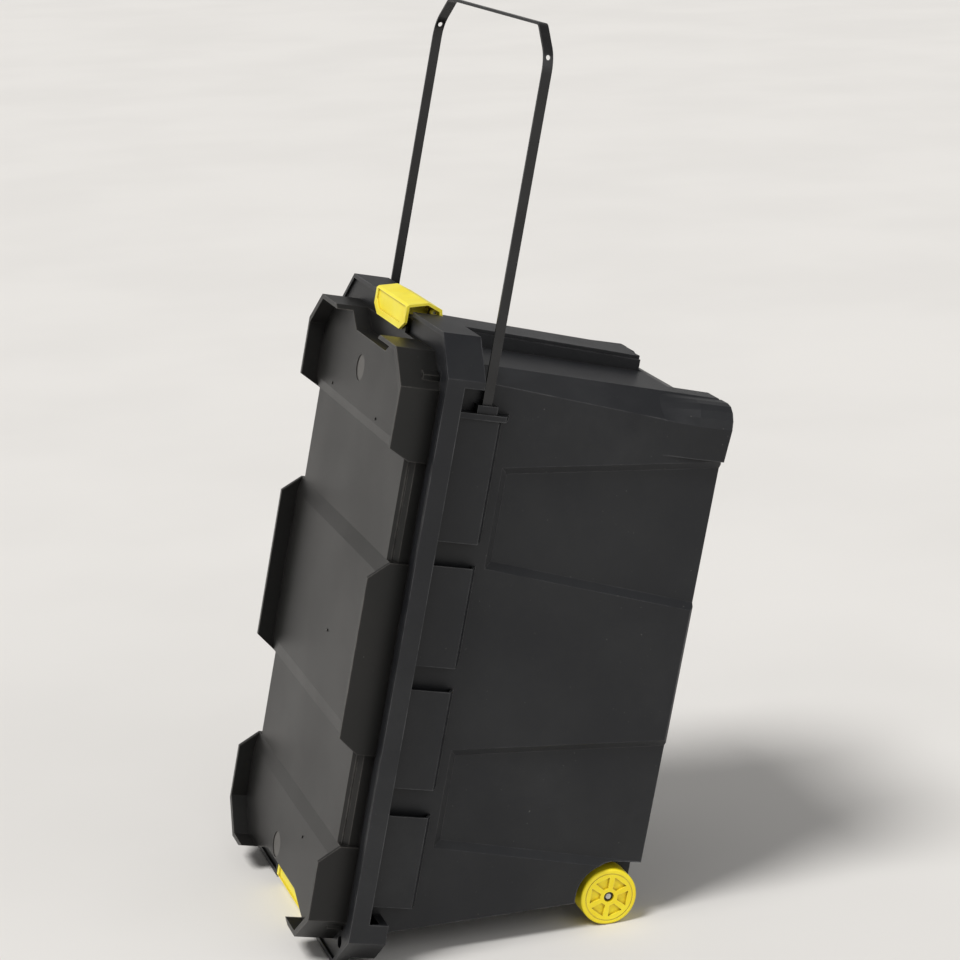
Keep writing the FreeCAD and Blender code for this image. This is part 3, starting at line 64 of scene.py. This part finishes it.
class Nodes:
    """Short names for building one material's node tree, with lengths in metres."""

    def __init__(self, name):
        self.material = bpy.data.materials.new(name)
        self.material.use_nodes = True
        self.tree = self.material.node_tree
        self.shader = self.tree.nodes["Principled BSDF"]
        self.place = self.add("ShaderNodeTexCoord").outputs["Object"]

    def add(self, kind, **settings):
        node = self.tree.nodes.new(kind)
        for key, value in settings.items():
            setattr(node, key, value)
        return node

    def link(self, source, target):
        self.tree.links.new(source, target)

    def feed(self, socket, value):
        """Give a socket a value or a link."""
        if isinstance(value, bpy.types.NodeSocket):
            self.link(value, socket)
        else:
            socket.default_value = value

    def stretched(self, scale, lean=0.0):
        """The object's place, turned back by the box's lean, with its axes scaled."""
        mapping = self.add("ShaderNodeMapping")
        self.link(self.place, mapping.inputs["Vector"])
        mapping.inputs["Rotation"].default_value = (0.0, lean, 0.0)
        mapping.inputs["Scale"].default_value = scale
        return mapping.outputs["Vector"]

    def noise(self, scale, detail=2, rough=0.5, place=None):
        node = self.add("ShaderNodeTexNoise")
        self.link(place or self.place, node.inputs["Vector"])
        node.inputs["Scale"].default_value = scale
        node.inputs["Detail"].default_value = detail
        node.inputs["Roughness"].default_value = rough
        return node.outputs["Fac"]

    def cells(self, scale, place=None):
        node = self.add("ShaderNodeTexVoronoi", feature="SMOOTH_F1")
        self.link(place or self.place, node.inputs["Vector"])
        node.inputs["Scale"].default_value = scale
        return node.outputs["Distance"]

    def spread(self, value, low, high, to_low=0.0, to_high=1.0):
        node = self.add("ShaderNodeMapRange", interpolation_type="SMOOTHSTEP")
        self.feed(node.inputs["Value"], value)
        ends = {"From Min": low, "From Max": high, "To Min": to_low, "To Max": to_high}
        for key, number in ends.items():
            node.inputs[key].default_value = number
        return node.outputs["Result"]

    def math(self, operation, first, second=0.0):
        node = self.add("ShaderNodeMath", operation=operation)
        self.feed(node.inputs[0], first)
        self.feed(node.inputs[1], second)
        return node.outputs[0]

    def mix(self, share, first, second, blend="MIX"):
        node = self.add("ShaderNodeMix", data_type="RGBA", blend_type=blend)
        self.feed(node.inputs[0], share)
        self.feed(node.inputs[6], first)
        self.feed(node.inputs[7], second)
        return node.outputs[2]

    def disc(self, centre, axis, radius, share):
        """A share within the radius about an axis, 0 outside it."""
        offset = self.add("ShaderNodeVectorMath", operation="SUBTRACT")
        self.link(self.place, offset.inputs[0])
        offset.inputs[1].default_value = centre
        across = self.add("ShaderNodeVectorMath", operation="CROSS_PRODUCT")
        self.link(offset.outputs["Vector"], across.inputs[0])
        across.inputs[1].default_value = axis
        length = self.add("ShaderNodeVectorMath", operation="LENGTH")
        self.link(across.outputs["Vector"], length.inputs[0])
        return self.spread(length.outputs["Value"], radius, radius * SOFT_RIM, 0.0, share)

    def edges(self, radius):
        """1 on sharp edges, falling to 0 within the radius."""
        bevel = self.add("ShaderNodeBevel", samples=4)
        bevel.inputs["Radius"].default_value = radius
        geometry = self.add("ShaderNodeNewGeometry")
        dot = self.add("ShaderNodeVectorMath", operation="DOT_PRODUCT")
        self.link(bevel.outputs["Normal"], dot.inputs[0])
        self.link(geometry.outputs["Normal"], dot.inputs[1])
        return self.spread(dot.outputs["Value"], 0.99, 0.80)

    def painted_crease_shade(self, distance):
        """Painted shade: 1 in the open, falling towards 0 in creases and at the feet of steps, where
        shade falls.
        """
        node = self.add("ShaderNodeAmbientOcclusion", samples=6)
        node.inputs["Distance"].default_value = distance
        return node.outputs["AO"]

    def bump(self, height, distance, strength, normal=None):
        node = self.add("ShaderNodeBump")
        self.link(height, node.inputs["Height"])
        node.inputs["Distance"].default_value = distance
        node.inputs["Strength"].default_value = strength
        if normal is not None:
            self.link(normal, node.inputs["Normal"])
        return node.outputs["Normal"]

    def finish(self, colour, roughness, normal):
        self.link(colour, self.shader.inputs["Base Color"])
        self.feed(self.shader.inputs["Roughness"], roughness)
        self.link(normal, self.shader.inputs["Normal"])
        return self.material


def moulded_black(name, dark, light, edge, rough, dust, marks=()):
    """Black plastic with a fine moulded grain, faint clouds, dust, scuffs, worn edges that also
    serve as painted highlights, and painted shade in creases.
    """
    n = Nodes(name)
    clouds = n.spread(n.noise(6, 5, 0.6), 0.35, 0.7)
    colour = n.mix(clouds, dark, light)
    for centre in marks:
        colour = n.mix(n.disc(centre, LID_NORMAL, MARK_RADIUS, MARK_SHARE), colour, edge)
    haze = n.spread(n.noise(7, 6, 0.7), 0.50, 0.80, 0.0, dust)
    colour = n.mix(haze, colour, edge)
    scratch_place = n.stretched((1.0, 0.07, 1.0), LEAN)
    scratches = n.spread(n.noise(380, 3, 0.6, scratch_place), 0.70, 0.78, 0.0, 0.16)
    patches = n.spread(n.noise(9, 2), 0.52, 0.64)
    colour = n.mix(n.math("MULTIPLY", scratches, patches), colour, edge)
    specks = n.spread(n.noise(300, 2, 0.4), 0.76, 0.80, 0.0, 0.5)
    colour = n.mix(specks, colour, DUST_SPECK)
    # worn edges, and painted highlights along the edges: sharp edges turn towards the pale colour
    wear_and_highlight = n.edges(BLACK_EDGE)
    wear_and_highlight_patches = n.spread(n.noise(24, 4, 0.7), 0.30, 0.7, 0.05, 0.75)
    colour = n.mix(n.math("MULTIPLY", wear_and_highlight, wear_and_highlight_patches), colour, edge)
    # painted shade: the colour is darkened in creases, recesses and at the feet of steps, where
    # shade falls
    near = n.spread(n.painted_crease_shade(NEAR_CREASE), 0.35, 0.95, 0.25, 1.0)
    wide = n.spread(n.painted_crease_shade(WIDE_CREASE), 0.30, 0.95, 0.40, 1.0)
    colour = n.mix(1.0, colour, n.math("MULTIPLY", near, wide), "MULTIPLY")
    roughness = n.spread(n.noise(5, 3), 0.3, 0.7, rough - 0.02, rough + 0.04)
    grain_height = n.math("ADD", n.cells(1500), n.math("MULTIPLY", n.noise(2600, 2), 0.6))
    normal = n.bump(grain_height, 0.00025, 0.35)
    normal = n.bump(n.noise(14, 2), 0.004, 0.04, normal)
    n.shader.inputs["Specular IOR Level"].default_value = BLACK_GLOSS
    return n.finish(colour, roughness, normal)


def yellow_plastic(name, deep, bright, worn_edge):
    """Satin yellow plastic with soft clouds, grime in places, paler edges and painted shade in
    creases.
    """
    n = Nodes(name)
    colour = n.mix(n.spread(n.noise(18, 4), 0.35, 0.65), deep, bright)
    grime = n.spread(n.noise(55, 6, 0.7), 0.60, 0.78, 0.0, 0.15)
    colour = n.mix(grime, colour, YELLOW_GRIME)
    scratch_place = n.stretched((1.0, 0.1, 1.0))
    scratches = n.spread(n.noise(500, 3, 0.6, scratch_place), 0.70, 0.80, 0.0, 0.25)
    colour = n.mix(scratches, colour, YELLOW_SCRATCH)
    colour = n.mix(n.math("MULTIPLY", n.edges(YELLOW_EDGE), 0.5), colour, worn_edge)
    # painted shade: creases and pockets turn towards a deep yellow, where shade falls
    painted_shade = n.spread(n.painted_crease_shade(YELLOW_CREASE), 0.3, 0.95, 0.4, 1.0)
    colour = n.mix(painted_shade, YELLOW_SHADE, colour)
    roughness = n.spread(n.noise(48, 3), 0.3, 0.7, 0.34, 0.46)
    normal = n.bump(n.noise(1500, 2), 0.0002, 0.25)
    n.shader.inputs["Subsurface Weight"].default_value = 0.05
    n.shader.inputs["Subsurface Radius"].default_value = (0.004, 0.003, 0.001)
    return n.finish(colour, roughness, normal)


def coated_steel(name):
    """Satin black powder coat with an orange-peel skin and rubbed edges."""
    n = Nodes(name)
    colour = n.mix(n.spread(n.noise(30, 5), 0.3, 0.7), srgb(12, 12, 13), srgb(24, 24, 25))
    rubbed = n.edges(COAT_EDGE)
    rubbed_patches = n.spread(n.noise(90, 4, 0.7), 0.35, 0.7, 0.0, 0.8)
    colour = n.mix(n.math("MULTIPLY", rubbed, rubbed_patches), colour, COAT_WORN)
    roughness = n.spread(n.noise(60, 3), 0.3, 0.7, 0.24, 0.36)
    normal = n.bump(n.noise(900, 2), 0.00015, 0.3)
    return n.finish(colour, roughness, normal)


def zinc_steel(name):
    """Bright zinc-plated steel with turned marks."""
    n = Nodes(name)
    clouds = n.spread(n.noise(120, 5), 0.3, 0.7)
    colour = n.mix(clouds, srgb(172, 170, 165), srgb(204, 203, 199))
    turned = n.stretched((1.0, 0.05, 1.0))
    roughness = n.spread(n.noise(700, 3, 0.6, turned), 0.3, 0.7, 0.22, 0.42)
    normal = n.bump(n.noise(1800, 2, 0.5, turned), 0.0001, 0.3)
    n.shader.inputs["Metallic"].default_value = 1.0
    return n.finish(colour, roughness, normal)


tub_black = moulded_black(
    "tub_plastic", srgb(30, 31, 34), srgb(37, 38, 40), srgb(104, 104, 106), rough=0.38, dust=0.05
)
lid_black = moulded_black(
    "lid_plastic", srgb(29, 29, 28), srgb(33, 32, 31), srgb(112, 109, 105), rough=0.36, dust=0.02,
    marks=LID_MARKS,
)
plain_black = moulded_black(
    "slider_plastic", srgb(22, 22, 22), srgb(30, 30, 30), srgb(70, 70, 68), rough=0.45, dust=0.2
)
latch_yellow = yellow_plastic(
    "latch_plastic", srgb(250, 230, 56), srgb(255, 240, 76), srgb(255, 246, 150)
)
wheel_yellow = yellow_plastic(
    "wheel_plastic", srgb(250, 224, 24), srgb(255, 236, 42), srgb(255, 244, 120)
)
coat = coated_steel("handle_coat")
zinc = zinc_steel("zinc_steel")

FINISHES = {
    "tub": tub_black,
    "tub_rim": tub_black,
    "lid": lid_black,
    "pull_handle": coat,
    "slide_block_right": plain_black,
    "slide_block_left": plain_black,
    "handle_rivets": coat,
    "wheel_axle": zinc,
    "thrust_washer_right": zinc,
    "thrust_washer_left": zinc,
    "push_nut_right": coat,
    "push_nut_left": coat,
    "wheel_right": wheel_yellow,
    "wheel_left": wheel_yellow,
    "handle_end_latch": latch_yellow,
    "wheel_end_latch": latch_yellow,
    "handle_end_latch_pin": zinc,
    "wheel_end_latch_pin": zinc,
}
ROUNDING = {
    "tub": 0.0018,
    "tub_rim": 0.0018,
    "lid": 0.0020,
    "handle_end_latch": 0.0014,
    "wheel_end_latch": 0.0014,
    "pull_handle": 0.0005,
    "slide_block_right": 0.0008,
    "slide_block_left": 0.0008,
}

for name, node in nodes.items():
    node.data.materials.clear()
    node.data.materials.append(FINISHES[name])
    width = ROUNDING.get(name)
    if width:
        bevel = node.modifiers.new("soft_edges", "BEVEL")
        bevel.width = width
        bevel.segments = 3
        bevel.limit_method = "ANGLE"
        bevel.angle_limit = ROUNDED_ANGLE
        bevel.harden_normals = True


# ---------------------------------------------------------------- stage

def stage_sheet(name, corners, material):
    """One flat sheet of the stage."""
    mesh = bpy.data.meshes.new(name)
    mesh.from_pydata(corners, [], [(0, 1, 2, 3)])
    sheet = bpy.data.objects.new(name, mesh)
    scene.collection.objects.link(sheet)
    mesh.materials.append(material)
    return sheet


def stage_material(name, colour):
    """A plain pale matt surface with faint clouds of a slightly darker tone."""
    n = Nodes(name)
    darker = [channel * 0.96 for channel in colour[:3]] + [1.0]
    tone = n.mix(n.spread(n.noise(1.2, 3), 0.3, 0.7), colour, darker)
    normal = n.bump(n.noise(60, 3), 0.001, 0.05)
    n.shader.inputs["Specular IOR Level"].default_value = 0.1
    return n.finish(tone, 0.9, normal)


floor_corners = [
    (along * FLOOR_REACH, across * FLOOR_REACH, 0)
    for along, across in ((-1, -1), (1, -1), (1, 1), (-1, 1))
]
stage_sheet("stage_floor", floor_corners, stage_material("floor", srgb(225, 223, 220)))

# ---------------------------------------------------------------- camera

CAMERA_PLACE = Vector((-1.08769, -3.61064, 1.61021))
CAMERA_LENS = 104.507                              # focal length for a 36 mm sensor
CAMERA_TURN = (
    (0.953371, 0.100857, -0.284450),
    (-0.300774, 0.239800, -0.923055),
    (-0.024886, 0.965569, 0.258953),
)
camera_data = bpy.data.cameras.new("camera")
camera_data.sensor_width = 36
camera_data.lens = CAMERA_LENS
camera = bpy.data.objects.new("camera", camera_data)
scene.collection.objects.link(camera)
turn = Matrix(CAMERA_TURN).to_quaternion()
camera.matrix_world = Matrix.LocRotScale(CAMERA_PLACE, turn, None)
scene.camera = camera

# ---------------------------------------------------------------- light

world = bpy.data.worlds.new("world")
scene.world = world
world.use_nodes = True
background = world.node_tree.nodes["Background"]
background.inputs["Color"].default_value = (0.90, 0.89, 0.88, 1)
background.inputs["Strength"].default_value = 0.33


def sunlight(name, towards, strength, spread, colour=(1, 1, 1)):
    """One far soft lamp, given by the direction that it stands in."""
    lamp = bpy.data.lights.new(name, "SUN")
    lamp.energy = strength
    lamp.angle = math.radians(spread)
    lamp.color = colour
    holder = bpy.data.objects.new(name, lamp)
    scene.collection.objects.link(holder)
    holder.rotation_euler = Vector(towards).to_track_quat("Z", "Y").to_euler()


sunlight("key", (-0.48, -0.20, 0.855), 2.6, 20, (1.0, 0.99, 0.975))
sunlight("fill", (0.35, -0.82, 0.45), 0.60, 50)

scene.view_settings.view_transform = "Standard"
